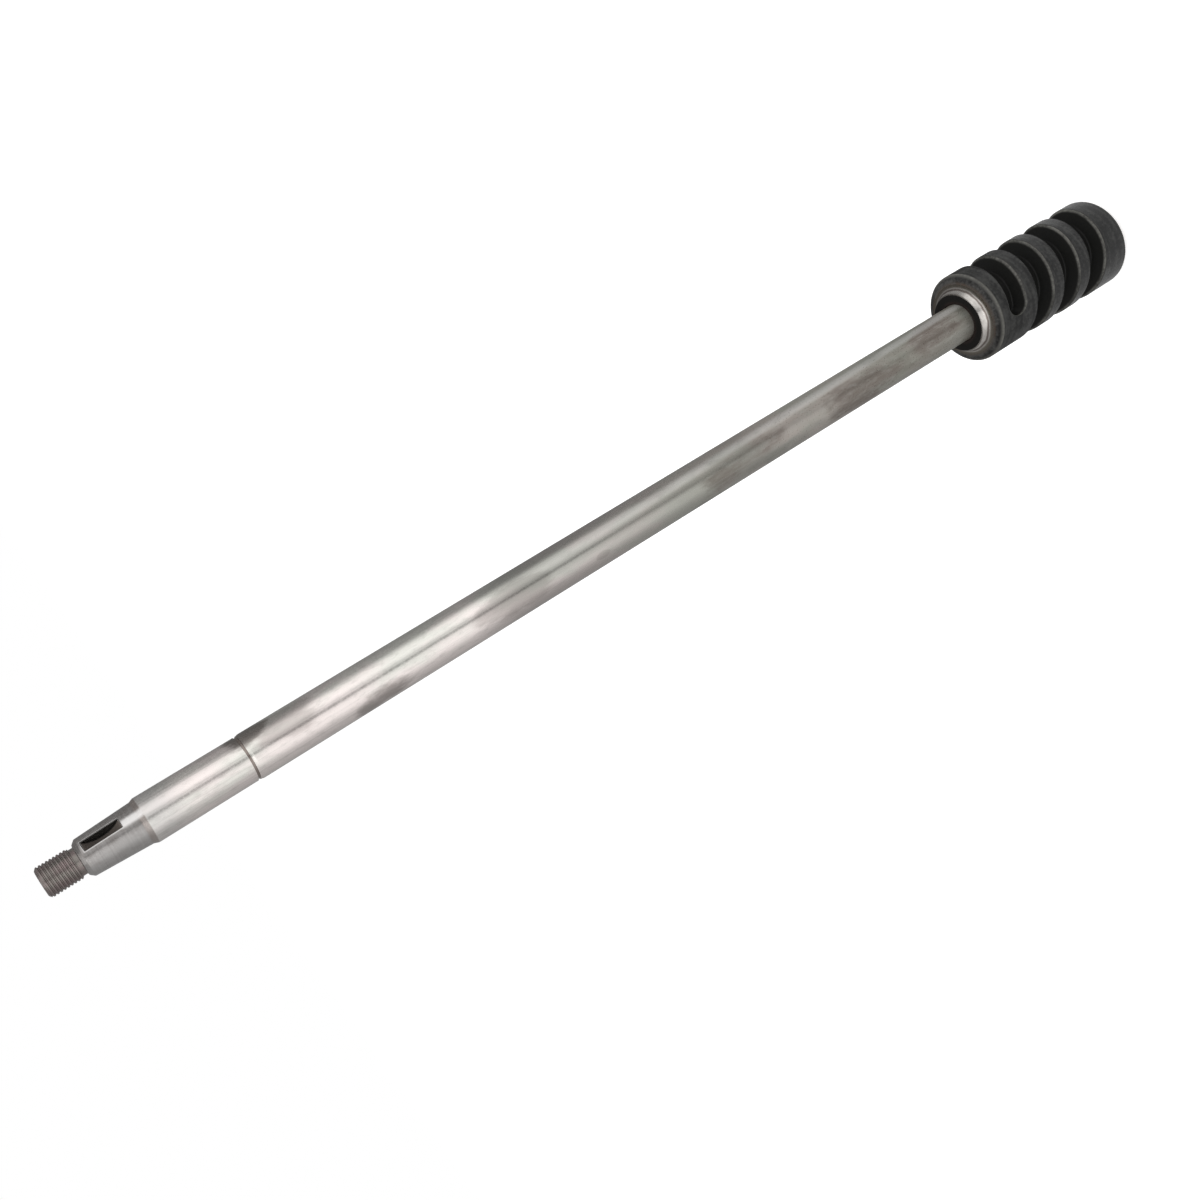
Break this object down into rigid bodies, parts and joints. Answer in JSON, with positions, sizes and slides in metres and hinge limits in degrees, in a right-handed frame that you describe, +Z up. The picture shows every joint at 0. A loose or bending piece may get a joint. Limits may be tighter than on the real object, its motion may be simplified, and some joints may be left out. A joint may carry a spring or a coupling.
{
  "type": "worm shaft",
  "caption": "Steering worm shaft: a straight ground bar with a tapered, keyed and threaded wheel end and a left-hand grooved worm with ball races on the other.",
  "frame": {"origin": "centre of the worm's lower end face, on which the shaft stands", "axes": "+Z up the shaft's axis to the threaded end, -Y out of the key slot"},
  "size_m": [0.0526, 0.0526, 0.6799],
  "materials": {
    "ground_steel": "drawn and ground bar, satin bright",
    "hardened_steel": "quench-blackened, satin, with ground races"
  },
  "bodies": {
    "root": {"shaft": "ground_steel", "worm": "hardened_steel"}
  },
  "joints": []
}
